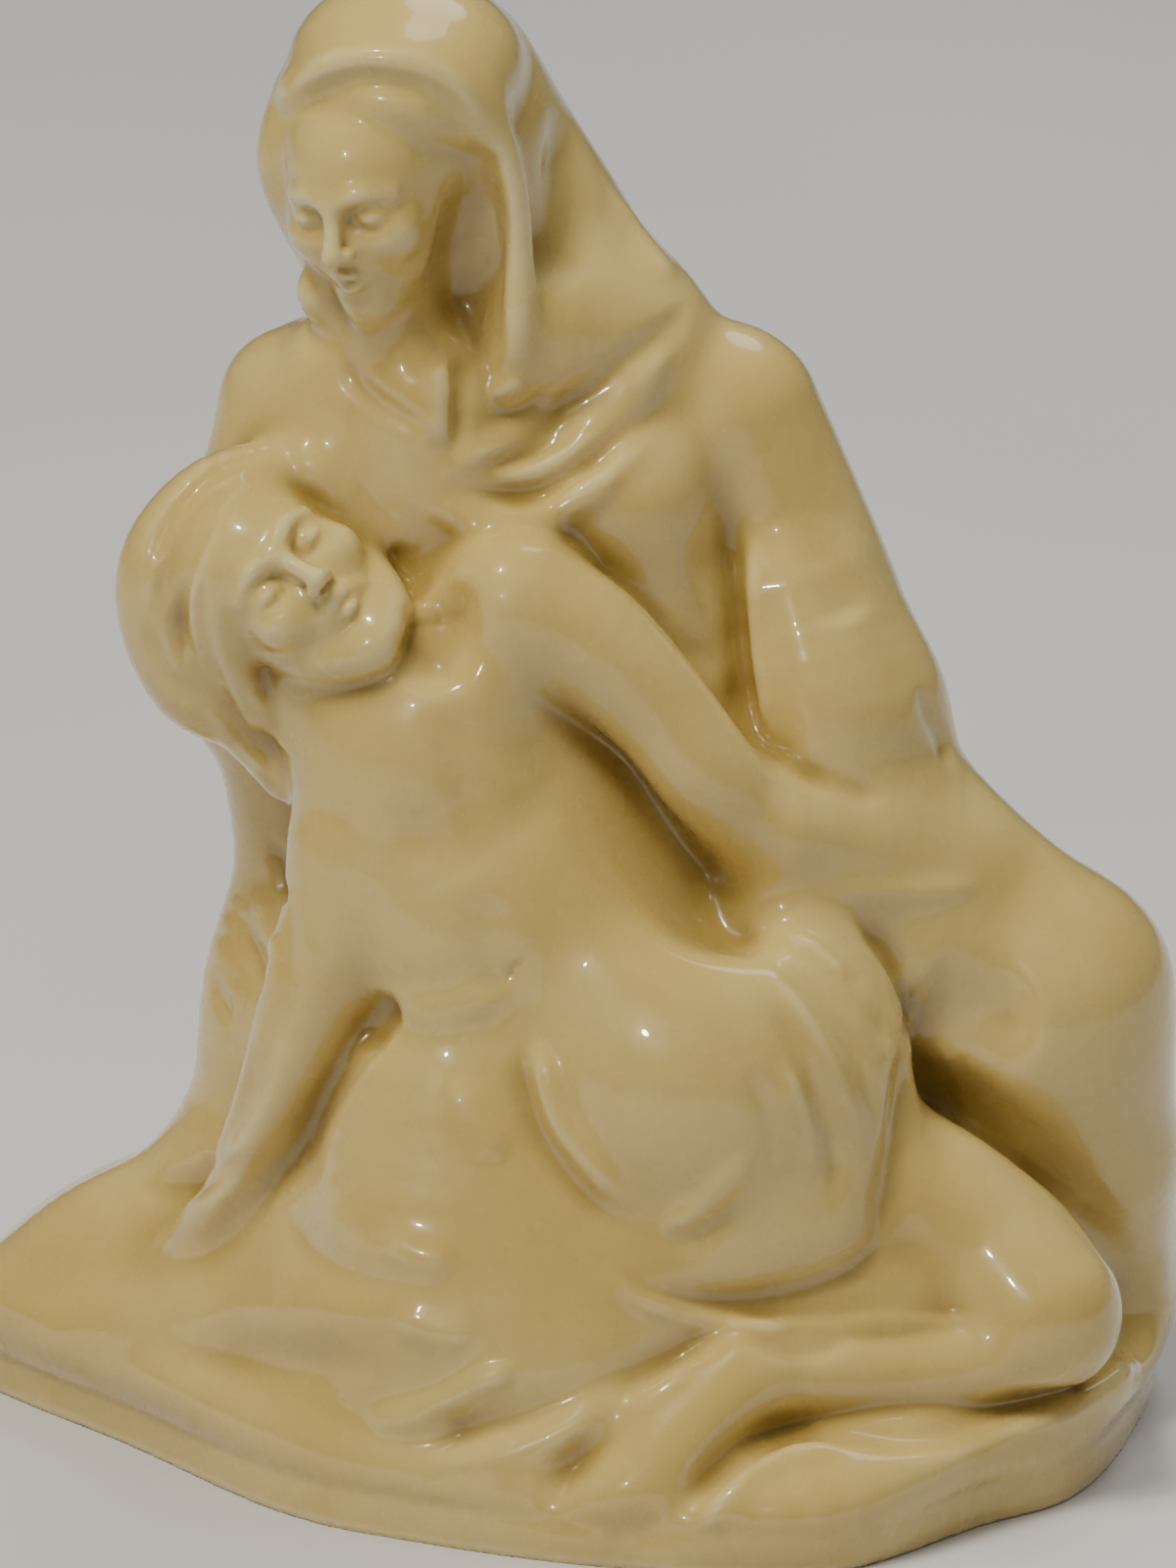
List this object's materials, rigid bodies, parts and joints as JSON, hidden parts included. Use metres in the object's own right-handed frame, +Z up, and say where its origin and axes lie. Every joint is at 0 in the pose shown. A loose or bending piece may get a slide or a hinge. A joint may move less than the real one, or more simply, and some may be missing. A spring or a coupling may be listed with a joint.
{
  "type": "pieta statue",
  "caption": "Small glazed figure group: a veiled, seated mother holds her dead son, who lies back across her lap on a mound of spread cloth.",
  "frame": {"origin": "middle of the group's outer box, on the flat underside", "axes": "+X towards the mother's left hand, +Y towards her back, +Z up"},
  "size_m": [0.142, 0.1028, 0.17],
  "materials": {
    "cream_glaze": "one clear, glossy glaze over a cream body, a little darker where it pools in the folds, with a thin unglazed rim round the underside"
  },
  "bodies": {
    "root": {"pieta_group": "cream_glaze"}
  },
  "joints": []
}
